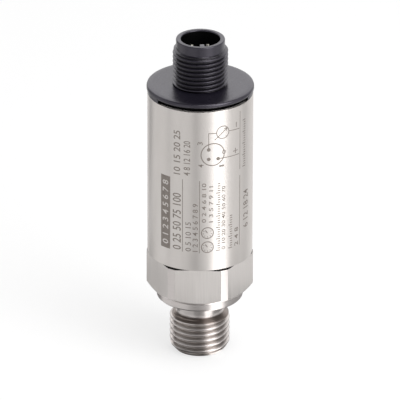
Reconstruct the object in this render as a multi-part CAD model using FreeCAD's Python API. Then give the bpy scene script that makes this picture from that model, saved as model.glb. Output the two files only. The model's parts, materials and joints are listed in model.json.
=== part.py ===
"""Compact pressure transmitter with a G1/4 A process thread and an M12 x 1 male plug.

Frame: millimetres, +Z up along the axis. The origin is the centre of the sealing face,
the flat ring under the hexagon that closes on the process port. The process stub points
down and the plug points up. The plug's coding key and the marking face -Y.

Both threads are plain cylinders at their major diameter, with true reliefs and chamfers.
"""
import FreeCAD, Part
import math
import os

# ---------------------------------------------------------------- driving dimensions
# Process fitting: G1/4 A stub, collar, hexagon and tube spigot
THREAD_D = 13.157            # G1/4 A major diameter
STUB_LENGTH = 12.7           # sealing face to stub end
STUB_CHAMFER_Z = 1.4
STUB_CHAMFER_R = 1.15
NECK_D = 10.0                # relief under the collar
NECK_LENGTH = 3.45
NECK_RUNOUT = 1.0            # height of the slope from the neck out to the thread
PORT_D = 6.0                 # mouth of the pressure port
PORT_DEPTH = 6.0
DUCT_D = 3.0                 # narrow duct from the port to the measuring cell
COLLAR_D = 18.9
COLLAR_HEIGHT = 1.75
COLLAR_EDGE = 0.35           # chamfer round the sealing face
HEX_ACROSS_FLATS = 21.0
CORNER_OVERHANG = 0.15       # how far the turned corners stand out past the tube
HEX_CHAMFER = 34.0           # degrees that the turned chamfer rises from the collar
HEX_TOP = 10.65
HEX_TURN = -2.3              # degrees that the front flat is turned from -Y
TUBE_GAP = 0.35              # shadow gap between the hexagon and the tube
SHOULDER_STEP = 0.25         # how far the tube's seat stands out past the tube's bore
SPIGOT_HEIGHT = 4.6          # above the tube's lower edge

# Measuring cell and what holds it
SPIGOT_WALL = 1.53           # round the clamp ring's thread
CELL_STEP = 0.35             # how far the clamp ring's thread stands out past the cell
CELL_THICKNESS = 6.35
CELL_WALL = 2.25             # round the hollow on the cell's upper side
CELL_SOCKET_DEPTH = 1.2
CELL_FLOOR = 3.0             # height of the face the cell sits on
GLAND_INSET = 1.15           # from the cell's edge to its seal ring's gland
GLAND_WIDTH = 2.2
GLAND_DEPTH = 1.4
CLAMP_HEIGHT = 2.6
CLAMP_WALL = 3.1
SPANNER_SLOT_WIDTH = 2.0
SPANNER_SLOT_DEPTH = 1.0
LEAD_COUNT = 4
LEAD_PITCH = 2.54
LEAD_D = 0.5
LEAD_OVERLAP = 3.5           # length soldered to the board

# Housing tube
TUBE_D = 23.0
TUBE_WALL = 0.8
TUBE_LENGTH = 37.8
TUBE_EDGE = 0.15

# Seal rings on the fitting's spigot and on the cap's spigot
RING_GROOVE_DEPTH = 0.75
RING_GROOVE_WIDTH = 1.3
RING_FLATS = 6               # flats of a ring's section

# Connector cap
CAP_SEAT_INSET = 0.05        # from the tube's wall in to the ring that stands on the tube
CAP_SEAT_HEIGHT = 0.85
CAP_RIM_OVERHANG = 0.15      # how far the rim stands out past the tube
CAP_RIM_HEIGHT = 1.05
CAP_RIM_EDGE = 0.5
CAP_SKIRT_LENGTH = 4.6
CAP_SKIRT_WALL = 1.65
CAP_ROOF = 2.4               # thickness over the cavity
CAP_BOSS_D = 13.0
CAP_BOSS_LENGTH = 2.6
VENT_SLOT_ANGLE = 117.0      # degrees of the seat ring that are left out
VENT_SLOT_DEPTH = 1.2
VENT_HOLE_D = 0.6
VENT_POCKET_D = 2.4
VENT_POCKET_DEPTH = 1.2
MEMBRANE_THICKNESS = 0.2

# M12 x 1 plug, A-coded
PLUG_THREAD_D = 12.0
PLUG_THREAD_LENGTH = 8.4     # from the rim to the end of the thread
PLUG_LEAD_D = 10.6           # smooth nose ahead of the thread
PLUG_LEAD_LENGTH = 2.15
PLUG_RUNOUT = 0.35
PLUG_LIP_EDGE = 0.22
SOCKET_D = 8.5
SOCKET_DEPTH = 9.4
KEY_TURN = 5.5               # degrees of the key from -Y, towards +X
KEY_WIDTH = 1.0
KEY_HEIGHT = 1.1
KEY_RECESS = 0.05            # top of the key below the lip
PIN_CIRCLE_D = 5.0
PIN_D = 1.0
PIN_RECESS = 2.15            # pin tip below the plug's lip
PIN_TAIL = 1.4               # below the connector board
PIN_COLLAR_D = 1.6
PIN_COLLAR_HEIGHT = 0.5
PIN_TIP_EDGE = 0.35
PIN_PLACES = {"contact_pin_1": -45.0, "contact_pin_3": 135.0, "contact_pin_4": -135.0}
CARRIER_FLANGE_D = 10.4
CARRIER_FLANGE_HEIGHT = 2.0
CARRIER_SEAT = 1.9           # socket floor above the flange's upper face

# Boards, their holder and the parts on them
BOARD_THICKNESS = 1.0
BOARD_FOOT_GAP = 1.6         # above the fitting's spigot
CONNECTOR_BOARD_GAP = 0.3    # radial, inside the cap's skirt
CONNECTOR_BOARD_DROP = 0.8   # below the cap's boss
HOLDER_WALL = 1.9
HOLDER_RING_HEIGHT = 1.5
HOLDER_RAIL_WIDTH = 4.2
RAIL_BACK = 1.7              # behind the board's edge
RAIL_GRIP = 0.9              # depth of the rail's slot over the board's edge
SLEEVE_WALL = 0.2
SLEEVE_OVERLAP = 0.5         # below the cap's skirt
HEADER_PITCH = 2.0
HEADER_HEIGHT = 2.2
HEADER_DEPTH = 2.2
HEADER_EDGE_GAP = 1.8        # from the board's edge, clear of the contact pins' tails
HEADER_PIN_COUNT = 3
HEADER_PIN_SIZE = 0.5
HEADER_PIN_REACH = 3.2       # along the board
CHIP_SIZE = (6.2, 1.6, 7.8)  # width, height off the board, length
CHIP_LEAD_COUNT = 8
CHIP_LEAD_PITCH = 0.8
CHIP_LEAD_SIZE = (1.0, 0.2, 0.35)
DRIVER_SIZE = (6.4, 2.2, 6.0)
DRIVER_TAB = (5.2, 0.5, 1.4)
CAPACITOR_SIZE = (2.8, 2.4, 3.5)
CAPACITOR_SPACING = 5.0
CAPACITOR_CAP = 0.4          # metal end past the moulded body
CAPACITOR_HEIGHT = 7.0       # centre above the board's foot
CHIP_GAP = 2.6               # from the leads' ends up to the chip
DRIVER_GAP = 0.8             # from the chip up to the driver

# Fits
SLIP = 0.05                  # radial, parts that slide into each other
SNUG = 0.02                  # radial, parts that hold each other

# ---------------------------------------------------------------- derived places
tube_r = TUBE_D / 2
tube_bore_r = tube_r - TUBE_WALL
tube_bottom = HEX_TOP + TUBE_GAP
tube_top = tube_bottom + TUBE_LENGTH
hex_corner_r = tube_r + CORNER_OVERHANG
spigot_r = tube_bore_r - SLIP
spigot_top = tube_bottom + SPIGOT_HEIGHT
clamp_thread_r = spigot_r - SPIGOT_WALL - SNUG
cell_r = clamp_thread_r - CELL_STEP
cell_top = CELL_FLOOR + CELL_THICKNESS
clamp_top = cell_top + CLAMP_HEIGHT
cap_seat_r = tube_r - CAP_SEAT_INSET
cap_rim_r = tube_r + CAP_RIM_OVERHANG
skirt_r = tube_bore_r - SLIP
cavity_r = skirt_r - CAP_SKIRT_WALL
vent_pocket_r = (cavity_r + CAP_BOSS_D / 2) / 2
rim_bottom = tube_top + CAP_SEAT_HEIGHT
rim_top = rim_bottom + CAP_RIM_HEIGHT
cavity_roof = rim_top - CAP_ROOF
skirt_bottom = tube_top - CAP_SKIRT_LENGTH
boss_bottom = cavity_roof - CAP_BOSS_LENGTH
thread_top = rim_top + PLUG_THREAD_LENGTH
lip = thread_top + PLUG_LEAD_LENGTH
socket_floor = lip - SOCKET_DEPTH
flange_top = socket_floor - CARRIER_SEAT
flange_bottom = flange_top - CARRIER_FLANGE_HEIGHT
connector_board_top = boss_bottom - CONNECTOR_BOARD_DROP
connector_board_bottom = connector_board_top - BOARD_THICKNESS
header_bottom = connector_board_bottom - HEADER_HEIGHT
board_foot = spigot_top + BOARD_FOOT_GAP
board_head = connector_board_bottom - SLIP
sleeve_r = tube_bore_r - SLIP
holder_r = sleeve_r - SLEEVE_WALL - SLIP
board_half_width = holder_r - RAIL_BACK
connector_board_r = cavity_r - CONNECTOR_BOARD_GAP
board_face = BOARD_THICKNESS / 2
header_x = board_half_width - HEADER_EDGE_GAP - HEADER_PITCH * HEADER_PIN_COUNT / 2
chip_middle = board_foot + LEAD_OVERLAP + CHIP_GAP + CHIP_SIZE[2] / 2
driver_middle = chip_middle + CHIP_SIZE[2] / 2 + DRIVER_GAP + DRIVER_SIZE[2] / 2
key_angle = -90.0 + KEY_TURN

SOLIDS = {}


# ---------------------------------------------------------------- shape helpers
def revolve(points):
    """Solid turned from a closed (radius, height) outline."""
    wire = Part.makePolygon([FreeCAD.Vector(r, 0, z) for r, z in points + points[:1]])
    return Part.Face(wire).revolve(FreeCAD.Vector(0, 0, 0), FreeCAD.Vector(0, 0, 1), 360)


def cylinder(radius, bottom, top, x=0.0, y=0.0):
    return Part.makeCylinder(radius, top - bottom, FreeCAD.Vector(x, y, bottom))


def ring(outer_r, inner_r, bottom, top):
    return cylinder(outer_r, bottom, top).cut(cylinder(inner_r, bottom, top))


def block(width, depth, height, x=0.0, y=0.0, bottom=0.0):
    """Box centred on x and y, standing on the given height."""
    corner = FreeCAD.Vector(x - width / 2, y - depth / 2, bottom)
    return Part.makeBox(width, depth, height, corner)


def turned(shape, degrees):
    """Copy of a shape turned about the axis."""
    copy = shape.copy()
    copy.rotate(FreeCAD.Vector(0, 0, 0), FreeCAD.Vector(0, 0, 1), degrees)
    return copy


def polar(radius, degrees):
    angle = math.radians(degrees)
    return radius * math.cos(angle), radius * math.sin(angle)


def rounded_corner(radius, height, rounding, flats):
    """Outline points up the outer wall and in over the top, round one corner."""
    points = []
    for index in range(flats + 1):
        turn = math.pi / 2 * index / flats
        points.append((radius - rounding * (1 - math.cos(turn)),
                       height - rounding * (1 - math.sin(turn))))
    return points


def seal_ring(outer_r, inner_r, middle):
    """Squeezed ring between two walls, with a section of flats about a circle."""
    section_r = (outer_r - inner_r) / 2
    centre_r = (outer_r + inner_r) / 2
    corners = []
    for index in range(RING_FLATS):
        across, up = polar(section_r, 360 / RING_FLATS * index)
        corners.append((centre_r + across, middle + up))
    return revolve(corners)


# ---------------------------------------------------------------- process fitting
def process_fitting():
    thread_r = THREAD_D / 2
    collar_r = COLLAR_D / 2
    cone_top = COLLAR_HEIGHT + (hex_corner_r - collar_r) * math.tan(math.radians(HEX_CHAMFER))
    neck_bottom = -NECK_LENGTH
    groove_bottom = tube_bottom + SPIGOT_HEIGHT / 2 - RING_GROOVE_WIDTH / 2
    groove_top = groove_bottom + RING_GROOVE_WIDTH
    gland_outer_r = cell_r - GLAND_INSET
    gland_inner_r = gland_outer_r - GLAND_WIDTH
    gland_floor = CELL_FLOOR - GLAND_DEPTH
    blank = revolve([
        (PORT_D / 2, -STUB_LENGTH),
        (thread_r - STUB_CHAMFER_R, -STUB_LENGTH),
        (thread_r, STUB_CHAMFER_Z - STUB_LENGTH),
        (thread_r, neck_bottom - NECK_RUNOUT),
        (NECK_D / 2, neck_bottom),
        (NECK_D / 2, 0),
        (collar_r - COLLAR_EDGE, 0),
        (collar_r, COLLAR_EDGE),
        (collar_r, COLLAR_HEIGHT),
        (hex_corner_r, cone_top),
        (hex_corner_r, HEX_TOP),
        (tube_bore_r + SHOULDER_STEP, HEX_TOP),
        (tube_bore_r + SHOULDER_STEP, tube_bottom),
        (spigot_r, tube_bottom),
        (spigot_r, groove_bottom),
        (spigot_r - RING_GROOVE_DEPTH, groove_bottom),
        (spigot_r - RING_GROOVE_DEPTH, groove_top),
        (spigot_r, groove_top),
        (spigot_r, spigot_top),
        (clamp_thread_r + SNUG, spigot_top),
        (clamp_thread_r + SNUG, cell_top),
        (cell_r + SLIP, cell_top),
        (cell_r + SLIP, CELL_FLOOR),
        (gland_outer_r, CELL_FLOOR),
        (gland_outer_r, gland_floor),
        (gland_inner_r, gland_floor),
        (gland_inner_r, CELL_FLOOR),
        (DUCT_D / 2, CELL_FLOOR),
        (DUCT_D / 2, PORT_DEPTH - STUB_LENGTH),
        (PORT_D / 2, PORT_DEPTH - STUB_LENGTH),
    ])
    return blank.cut(hexagon_waste())


def hexagon_waste():
    """What milling the six flats takes off the turned blank."""
    corner_r = HEX_ACROSS_FLATS / 2 / math.cos(math.pi / 6)
    corners = [polar(corner_r, -60 + HEX_TURN + 60 * side) for side in range(7)]
    outline = Part.makePolygon([FreeCAD.Vector(x, y, 0) for x, y in corners])
    hexagon = Part.Face(outline).extrude(FreeCAD.Vector(0, 0, HEX_TOP))
    return cylinder(2 * hex_corner_r, 0, HEX_TOP).cut(hexagon)


# ---------------------------------------------------------------- measuring cell
def cell_seal_ring():
    gland_middle_r = cell_r - GLAND_INSET - GLAND_WIDTH / 2
    half_height = GLAND_DEPTH / 2
    return seal_ring(gland_middle_r + half_height, gland_middle_r - half_height,
                     CELL_FLOOR - half_height)


def sensor_cell():
    body = cylinder(cell_r, CELL_FLOOR, cell_top)
    return body.cut(cylinder(cell_r - CELL_WALL, cell_top - CELL_SOCKET_DEPTH, cell_top))


def cell_clamp_ring():
    body = ring(clamp_thread_r, clamp_thread_r - CLAMP_WALL, cell_top, clamp_top)
    slot = block(2 * clamp_thread_r, SPANNER_SLOT_WIDTH, SPANNER_SLOT_DEPTH,
                 bottom=clamp_top - SPANNER_SLOT_DEPTH)
    return body.cut(slot)


def cell_leads():
    """Straight leads from the cell's pads to the front face of the main board."""
    y = board_face + LEAD_D / 2
    for index in range(LEAD_COUNT):
        x = (index - (LEAD_COUNT - 1) / 2) * LEAD_PITCH
        bottom = cell_top - CELL_SOCKET_DEPTH
        lead = cylinder(LEAD_D / 2, bottom, board_foot + LEAD_OVERLAP, x, y)
        SOLIDS[f"cell_lead_{index + 1}"] = lead


# ---------------------------------------------------------------- housing
def housing_tube():
    return revolve([
        (tube_bore_r, tube_bottom),
        (tube_r - TUBE_EDGE, tube_bottom),
        (tube_r, tube_bottom + TUBE_EDGE),
        (tube_r, tube_top - TUBE_EDGE),
        (tube_r - TUBE_EDGE, tube_top),
        (tube_bore_r, tube_top),
    ])


def tube_seal_ring():
    return seal_ring(tube_bore_r, spigot_r - RING_GROOVE_DEPTH, tube_bottom + SPIGOT_HEIGHT / 2)


def insulating_sleeve():
    return ring(sleeve_r, sleeve_r - SLEEVE_WALL, spigot_top, skirt_bottom - SLEEVE_OVERLAP)


# ---------------------------------------------------------------- connector cap
def connector_cap():
    """One moulded piece: skirt, seat ring, rim, threaded plug and its keyed socket."""
    shell = revolve(cap_outline()).fuse(coding_key())
    shell = shell.cut(vent_slot())
    return shell.cut(vent_passage()).removeSplitter()


def cap_outline():
    groove_middle = tube_top - CAP_SKIRT_LENGTH / 2
    groove_bottom = groove_middle - RING_GROOVE_WIDTH / 2
    groove_top = groove_middle + RING_GROOVE_WIDTH / 2
    return [
        (skirt_r, skirt_bottom),
        (skirt_r, groove_bottom),
        (skirt_r - RING_GROOVE_DEPTH, groove_bottom),
        (skirt_r - RING_GROOVE_DEPTH, groove_top),
        (skirt_r, groove_top),
        (skirt_r, tube_top),
        (cap_seat_r, tube_top),
        (cap_seat_r, rim_bottom),
        (cap_rim_r, rim_bottom),
        *rounded_corner(cap_rim_r, rim_top, CAP_RIM_EDGE, 3),
        (PLUG_THREAD_D / 2, rim_top),
        (PLUG_THREAD_D / 2, thread_top - PLUG_RUNOUT),
        (PLUG_LEAD_D / 2, thread_top),
        *rounded_corner(PLUG_LEAD_D / 2, lip, PLUG_LIP_EDGE, 1),
        (SOCKET_D / 2, lip),
        (SOCKET_D / 2, flange_top),
        (CARRIER_FLANGE_D / 2 + SNUG, flange_top),
        (CARRIER_FLANGE_D / 2 + SNUG, boss_bottom),
        (CAP_BOSS_D / 2, boss_bottom),
        (CAP_BOSS_D / 2, cavity_roof),
        (cavity_r, cavity_roof),
        (cavity_r, skirt_bottom),
    ]


def coding_key():
    """Rib in the socket that sets the mating plug's angle."""
    inner_r = SOCKET_D / 2 - KEY_HEIGHT
    root = (PLUG_LEAD_D + SOCKET_D) / 4
    rib = block(root - inner_r, KEY_WIDTH, lip - KEY_RECESS - socket_floor,
                x=(root + inner_r) / 2, bottom=socket_floor)
    return turned(rib, key_angle)


def vent_slot():
    """Gap left in the seat ring, below the rim, centred on the key."""
    inner_r = cap_seat_r - VENT_SLOT_DEPTH
    outer = Part.makeCylinder(2 * cap_rim_r, CAP_SEAT_HEIGHT, FreeCAD.Vector(0, 0, tube_top),
                              FreeCAD.Vector(0, 0, 1), VENT_SLOT_ANGLE)
    sector = outer.cut(cylinder(min(inner_r, skirt_r), tube_top, rim_bottom))
    return turned(sector, key_angle - VENT_SLOT_ANGLE / 2)


def vent_pocket_place():
    return polar(vent_pocket_r, key_angle)


def vent_passage():
    """Pocket for the membrane, and the fine hole from it out to the slot."""
    x, y = vent_pocket_place()
    pocket = cylinder(VENT_POCKET_D / 2, cavity_roof, cavity_roof + VENT_POCKET_DEPTH, x, y)
    height = tube_top + CAP_SEAT_HEIGHT / 2
    hole = Part.makeCylinder(VENT_HOLE_D / 2, cap_seat_r - vent_pocket_r,
                             FreeCAD.Vector(x, y, height), FreeCAD.Vector(x, y, 0))
    return pocket.fuse(hole)


def vent_membrane():
    x, y = vent_pocket_place()
    return cylinder(VENT_POCKET_D / 2 - SNUG, cavity_roof, cavity_roof + MEMBRANE_THICKNESS, x, y)


def cap_seal_ring():
    return seal_ring(tube_bore_r, skirt_r - RING_GROOVE_DEPTH, tube_top - CAP_SKIRT_LENGTH / 2)


# ---------------------------------------------------------------- plug contacts
def contact_carrier():
    """Insert that holds the pins: its nose closes the socket, its flange stops it."""
    body = cylinder(SOCKET_D / 2 - SNUG, flange_top, socket_floor)
    body = body.fuse(cylinder(CARRIER_FLANGE_D / 2, flange_bottom, flange_top))
    for angle in PIN_PLACES.values():
        x, y = polar(PIN_CIRCLE_D / 2, key_angle + angle)
        body = body.cut(cylinder(PIN_D / 2 + SNUG, flange_bottom, socket_floor, x, y))
    return body


def contact_pins():
    for name, angle in PIN_PLACES.items():
        x, y = polar(PIN_CIRCLE_D / 2, key_angle + angle)
        tip = lip - PIN_RECESS
        collar_bottom = flange_bottom - PIN_COLLAR_HEIGHT
        tail = connector_board_bottom - PIN_TAIL
        pin = revolve([
            (0, tail),
            (PIN_D / 2, tail),
            (PIN_D / 2, collar_bottom),
            (PIN_COLLAR_D / 2, collar_bottom),
            (PIN_COLLAR_D / 2, flange_bottom),
            (PIN_D / 2, flange_bottom),
            *rounded_corner(PIN_D / 2, tip, PIN_TIP_EDGE, 2),
            (0, tip),
        ])
        pin.translate(FreeCAD.Vector(x, y, 0))
        SOLIDS[name] = pin


def connector_board():
    """Round board that the contact pins are soldered into."""
    board = cylinder(connector_board_r, connector_board_bottom, connector_board_top)
    for angle in PIN_PLACES.values():
        x, y = polar(PIN_CIRCLE_D / 2, key_angle + angle)
        board = board.cut(cylinder(PIN_D / 2 + SNUG, connector_board_bottom, connector_board_top, x, y))
    return board


# ---------------------------------------------------------------- main board
def main_board():
    return block(2 * board_half_width, BOARD_THICKNESS, board_head - board_foot, bottom=board_foot)


def board_holder():
    """Moulded foot ring with two slotted rails that grip the board's edges."""
    foot = ring(holder_r, holder_r - HOLDER_WALL, spigot_top, spigot_top + HOLDER_RING_HEIGHT)
    rail_inner_r = board_half_width - RAIL_GRIP
    wall = ring(holder_r, rail_inner_r, spigot_top, skirt_bottom - SLEEVE_OVERLAP)
    rails = wall.common(block(2 * holder_r, HOLDER_RAIL_WIDTH, wall.BoundBox.ZLength,
                              bottom=spigot_top))
    slot = block(2 * (board_half_width + SLIP), BOARD_THICKNESS + 2 * SLIP,
                 board_head - board_foot, bottom=board_foot)
    return foot.fuse(rails).cut(slot).removeSplitter()


def board_link_header():
    """Plastic strip between the two boards, on the back of the main board."""
    y = -board_face - HEADER_DEPTH / 2
    body = block(HEADER_PITCH * HEADER_PIN_COUNT, HEADER_DEPTH, HEADER_HEIGHT,
                 header_x, y, header_bottom)
    for x in header_pin_places():
        side = HEADER_PIN_SIZE + 2 * SNUG
        body = body.cut(block(side, side, HEADER_HEIGHT, x, y, header_bottom))
    return body


def header_pin_places():
    first = header_x - (HEADER_PIN_COUNT - 1) / 2 * HEADER_PITCH
    return [first + index * HEADER_PITCH for index in range(HEADER_PIN_COUNT)]


def board_link_pins():
    """Angled pins: up through the header to the round board, back to the main board."""
    y = -board_face - HEADER_DEPTH / 2
    foot_bottom = header_bottom - HEADER_PIN_REACH
    pins = []
    for x in header_pin_places():
        riser = block(HEADER_PIN_SIZE, HEADER_PIN_SIZE, connector_board_bottom - foot_bottom,
                      x, y, foot_bottom)
        reach = abs(y) - board_face + HEADER_PIN_SIZE / 2
        foot = block(HEADER_PIN_SIZE, reach, HEADER_PIN_SIZE, x, -board_face - reach / 2, foot_bottom)
        pins.append(riser.fuse(foot).removeSplitter())
    return Part.makeCompound(pins)


def on_front(width, depth, length, middle, x=0.0):
    """Part body standing off the front face of the main board."""
    return block(width, depth, length, x, board_face + depth / 2, middle - length / 2)


def on_back(width, depth, length, middle, x=0.0):
    """Part body standing off the back face of the main board."""
    return block(width, depth, length, x, -board_face - depth / 2, middle - length / 2)


def signal_chip():
    width, depth, length = CHIP_SIZE
    reach, thickness, lead_width = CHIP_LEAD_SIZE
    chip = on_front(width, depth, length, chip_middle)
    for index in range(CHIP_LEAD_COUNT):
        height = chip_middle + (index - (CHIP_LEAD_COUNT - 1) / 2) * CHIP_LEAD_PITCH
        chip = chip.fuse(on_front(width + 2 * reach, thickness, lead_width, height))
    return chip.removeSplitter()


def loop_driver():
    width, depth, length = DRIVER_SIZE
    tab_width, tab_thickness, tab_length = DRIVER_TAB
    body = on_front(width, depth, length, driver_middle)
    tab = on_front(tab_width, tab_thickness, tab_length, driver_middle + (length + tab_length) / 2)
    return body.fuse(tab).removeSplitter()


def capacitors():
    width, depth, length = CAPACITOR_SIZE
    middle = board_foot + CAPACITOR_HEIGHT
    for index, side in enumerate((-1, 1)):
        x = side * CAPACITOR_SPACING / 2
        body = on_back(width, depth, length, middle, x)
        ends = on_back(width - 2 * CAPACITOR_CAP, depth / 2, length + 2 * CAPACITOR_CAP, middle, x)
        SOLIDS[f"capacitor_{index + 1}"] = body.fuse(ends).removeSplitter()


# ---------------------------------------------------------------- assembly
def build():
    single_pieces = (
        process_fitting, cell_seal_ring, sensor_cell, cell_clamp_ring, housing_tube,
        tube_seal_ring, insulating_sleeve, connector_cap, vent_membrane, cap_seal_ring,
        contact_carrier, connector_board, main_board, board_holder, board_link_header,
        board_link_pins, signal_chip, loop_driver,
    )
    for piece in single_pieces:
        SOLIDS[piece.__name__] = piece()
    cell_leads()
    contact_pins()
    capacitors()


def export():
    os.makedirs("parts", exist_ok=True)
    for name, shape in SOLIDS.items():
        shape.exportStep(f"parts/{name}.step")
        print(f"{name}: {len(shape.Solids)} solid(s), {shape.Volume:.2f} mm3, valid {shape.isValid()}")


build()
export()
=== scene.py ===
"""Looks of the pressure transmitter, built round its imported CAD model.

The scene is in metres, in the CAD frame: +Z up along the axis, the sealing face at z = 0, the
marked side -Y. Sizes below are in millimetres. The process fitting, the tube, the connector cap
and the contact pins are replaced by finer meshes, the fitting and the cap with real threads.
The inner parts keep their CAD solids.
"""

import json
import math

import bmesh
import bpy
from mathutils import Matrix, Vector

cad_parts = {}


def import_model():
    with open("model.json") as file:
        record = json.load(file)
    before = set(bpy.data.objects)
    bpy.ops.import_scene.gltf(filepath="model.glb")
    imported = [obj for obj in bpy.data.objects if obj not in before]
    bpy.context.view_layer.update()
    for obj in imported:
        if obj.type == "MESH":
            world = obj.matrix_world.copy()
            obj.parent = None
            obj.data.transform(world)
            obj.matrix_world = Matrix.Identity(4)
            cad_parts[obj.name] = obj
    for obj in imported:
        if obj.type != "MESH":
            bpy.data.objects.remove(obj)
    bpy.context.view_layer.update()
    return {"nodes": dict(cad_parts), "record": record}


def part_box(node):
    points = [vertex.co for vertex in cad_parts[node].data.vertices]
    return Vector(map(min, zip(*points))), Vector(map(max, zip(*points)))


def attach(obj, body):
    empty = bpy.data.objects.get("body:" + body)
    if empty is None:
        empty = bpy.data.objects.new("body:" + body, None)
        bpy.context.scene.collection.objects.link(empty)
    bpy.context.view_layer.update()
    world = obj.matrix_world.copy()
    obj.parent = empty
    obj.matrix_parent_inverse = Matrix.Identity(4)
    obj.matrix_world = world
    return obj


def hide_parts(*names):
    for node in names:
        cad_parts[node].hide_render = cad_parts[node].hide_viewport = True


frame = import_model()

MM = 0.001
FRONT = math.radians(-90)            # azimuth of the marked side


# ---------------------------------------------------------------- sizes, in millimetres
def box_mm(node):
    """Lowest and highest corner of a CAD node, in millimetres."""
    low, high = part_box(node)
    return low / MM, high / MM


mounts = {mount["name"]: mount for mount in frame["record"]["mounts"]}
fitting_low, fitting_high = box_mm("process_fitting")
tube_low, tube_high = box_mm("housing_tube")
cap_low, cap_high = box_mm("connector_cap")
cell_low, cell_high = box_mm("sensor_cell")
carrier_low, carrier_high = box_mm("contact_carrier")

SLIP = 0.05                          # radial play of parts that slide into each other
SNUG = 0.02                          # radial play of parts that hold each other

# Process fitting
G_THREAD_R = mounts["process_thread"]["dims"]["r_mm"]
G_PITCH = 1.337
G_DEPTH = 0.856
G_FLANK = math.radians(27.5)         # half of the Whitworth angle
G_CREST = -7.19                      # height of one crest on the marked side
STUB_BOTTOM = fitting_low.z
STUB_CHAMFER_Z = 1.4
STUB_CHAMFER_R = 1.15
NECK_R = 5.0
NECK_LENGTH = 3.45
NECK_RUNOUT = 1.0
NECK_FILLET = 0.3
PORT_R = mounts["pressure_port"]["dims"]["r_mm"]
PORT_DEPTH = mounts["pressure_port"]["dims"]["length_mm"]
DUCT_R = 1.5
COLLAR_R = 9.45
COLLAR_HEIGHT = 1.75
COLLAR_EDGE = 0.35
HEX_FLAT_R = 10.5
HEX_CHAMFER = math.radians(34)
HEX_CORNER_R = fitting_high.x
HEX_TOP = 10.65
HEX_LOW = 2.4                        # lowest point of the flats
HEX_TOP_SLOPE = 0.08                 # fall of the top face towards the corners
HEX_TURN = math.radians(-2.3)
HEX_EDGE = math.radians(0.4)         # half width of the soft edge at a milled corner
HEX_EASE = 0.08                      # easing of the turned corners
SHOULDER_R = 10.95
SHOULDER_INSET = 0.1                 # the shoulder keeps this far inside the flats
SPIGOT_TOP = fitting_high.z
GLAND_R = (5.4, 7.6)
GLAND_DEPTH = 1.4
CLAMP_THREAD_R = 9.12

# Housing tube
TUBE_R = tube_high.x
TUBE_WALL = 0.8
TUBE_EASE = 0.07
TUBE_BORE_R = TUBE_R - TUBE_WALL
TUBE_BOTTOM = tube_low.z
TUBE_TOP = tube_high.z
SPIGOT_R = TUBE_BORE_R - SLIP
RING_GROOVE_DEPTH = 0.75
RING_GROOVE_WIDTH = 1.3

# Connector cap
LIP = cap_high.z
RIM_R = cap_high.x
RIM_TOP = 50.7
RIM_BOTTOM = 49.65
RIM_EDGE = 0.45
RIM_CROWN = 0.85                     # the rim falls away over this width
RIM_CROWN_FALL = 0.15
SEAT_R = 11.45
VENT_SLOT = math.radians(117)
VENT_SLOT_R = 10.25
SKIRT_BOTTOM = cap_low.z
CAVITY_R = 9.0
CAVITY_ROOF = 48.3
BOSS_R = 6.5
BOSS_BOTTOM = 45.7
M_THREAD_R = mounts["plug_thread"]["dims"]["r_mm"]
M_PITCH = 1.0
M_DEPTH = 0.613
M_FLANK = math.radians(30)
M_CREST = 54.22
THREAD_TOP = 59.1
THREAD_RUNOUT = 0.35
NOSE_R = 5.3
NOSE_EDGE = 0.22
SOCKET_R = 4.25
SOCKET_FLOOR = carrier_high.z
CARRIER_SEAT = 1.9                   # socket floor above the carrier's flange
KEY_AZIMUTH = FRONT + math.radians(5.5)
KEY_WIDTH = 1.0
KEY_HEIGHT = 1.1
KEY_RECESS = 0.05
KEY_EDGE = 0.06

# Contact pins
PIN_SHANK_R = 0.5
PIN_COLLAR_HEIGHT = 0.5
PIN_EASE = 0.05
PIN_TIP = 0.35                       # height of the rounded tip

# Stage, in metres
CAMERA_LENS = 619                    # millimetres, for a 36 mm sensor
CAMERA_ELEVATION = math.radians(25.3)
CAMERA_ROLL = math.radians(0.17)
CAMERA_DISTANCE = 1.5
CAMERA_AIM = Vector((0, 0, 0.02264))
LAMP_AIM = Vector((0, 0, 0.025))
FLOOR_TONE = 0.3
FLOOR_SIZE = 4
FLOOR_DROP = 0.02                    # millimetres under the stub's end, so that no faces coincide
FLOOR_CARD_R = 0.4
FLOOR_CARD_LIFT = 0.05               # millimetres over the stub's end


# ---------------------------------------------------------------- mesh helpers
def columns_round(*soft_edges, count=180):
    """Azimuths once round from behind the marked side, with extra ones at each soft edge."""
    start = FRONT - math.pi
    azimuths = [start + 2 * math.pi * index / count for index in range(count + 1)]
    for edge in soft_edges:
        centre = start + (edge - start) % (2 * math.pi)
        azimuths += [centre - HEX_EDGE, centre, centre + HEX_EDGE]
    return sorted(azimuths)


def eased(points, ease):
    """Outline with its inner corners eased, each by a short arc between two support points."""
    result = [points[0]]
    for before, corner, after in zip(points, points[1:], points[2:]):
        corner = Vector(corner)
        back = Vector(before) - corner
        on = Vector(after) - corner
        reach = min(ease, back.length / 2.5, on.length / 2.5)
        start = corner + back.normalized() * reach
        end = corner + on.normalized() * reach
        middle = (start + end) / 2
        result += [
            corner + back.normalized() * reach * 1.2,
            start,
            middle + (corner - middle) * 0.4,
            end,
            corner + on.normalized() * reach * 1.2,
        ]
    return result + [points[-1]]


def sweep(bm, columns, outline):
    """Skin once round the axis through a closed outline per column, in millimetres.

    outline(column) lists (radius, height) points, as many for each column. A column is an azimuth, or
    (azimuth, mark) where the outline steps. Points that fall together are welded.
    """
    rings = []
    for column in columns:
        azimuth = column[0] if isinstance(column, tuple) else column
        across = math.cos(azimuth) * MM
        along = math.sin(azimuth) * MM
        rings.append([bm.verts.new((r * across, r * along, z * MM)) for r, z in outline(column)])
    for left, right in zip(rings, rings[1:]):
        for index in range(len(left)):
            bm.faces.new((left[index - 1], left[index], right[index], right[index - 1]))
    bmesh.ops.remove_doubles(bm, verts=bm.verts, dist=1e-8)


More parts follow.
